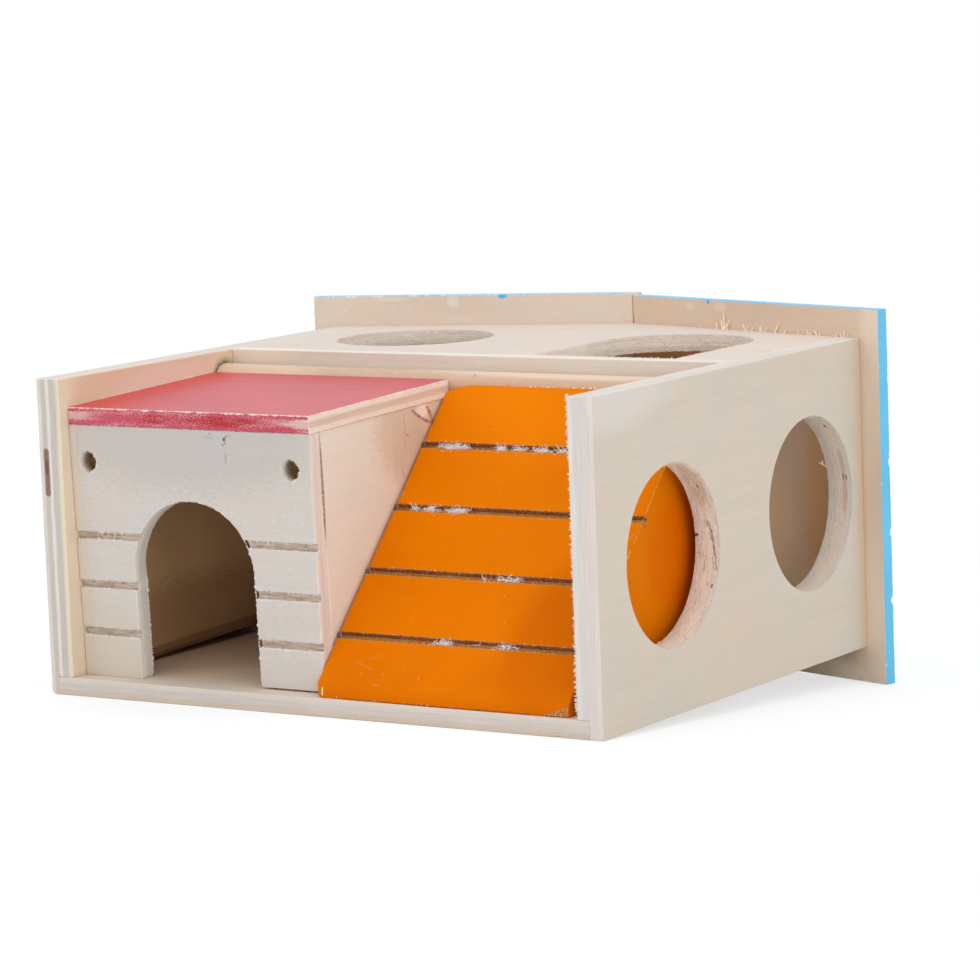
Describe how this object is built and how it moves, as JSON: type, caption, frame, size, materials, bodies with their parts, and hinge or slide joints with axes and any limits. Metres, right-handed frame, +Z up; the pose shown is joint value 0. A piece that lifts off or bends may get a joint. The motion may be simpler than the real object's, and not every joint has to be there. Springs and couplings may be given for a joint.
{
  "type": "wooden hamster house",
  "caption": "Open-fronted plywood hamster house with a red-roofed room, an orange climbing ramp, a top deck with entrances and a blue two-panel back.",
  "frame": {"origin": "centre of the bounding box's bottom face, on the table that the house stands on", "axes": "+X to the house's right seen from its open front, +Y towards the blue back, +Z up from the table; the house leans forward about 4 degrees about X, the way it stands"},
  "size_m": [0.1634, 0.1532, 0.0919],
  "materials": {
    "bare_plywood": "sanded bare plywood, layered edges, small knots and fibres",
    "bare_softwood": "planed bare wood",
    "red_painted_plywood": "glossy red paint on top and front edge, bare underside and side edges",
    "orange_painted_wood": "satin orange paint, bare wood in the saw-cut footholds",
    "blue_painted_plywood": "satin sky-blue paint on the outside and the edges, bare wood inside"
  },
  "bodies": {
    "root": {"floor_panel": "bare_plywood", "left_wall": "bare_plywood", "right_wall": "bare_plywood", "partition": "bare_softwood", "step_rail": "bare_softwood", "deck": "bare_plywood", "left_back_panel": "blue_painted_plywood", "right_back_panel": "blue_painted_plywood", "facade": "bare_plywood", "room_left_side": "bare_plywood", "room_right_side": "bare_plywood", "red_roof": "red_painted_plywood", "ramp": "orange_painted_wood"}
  },
  "joints": []
}
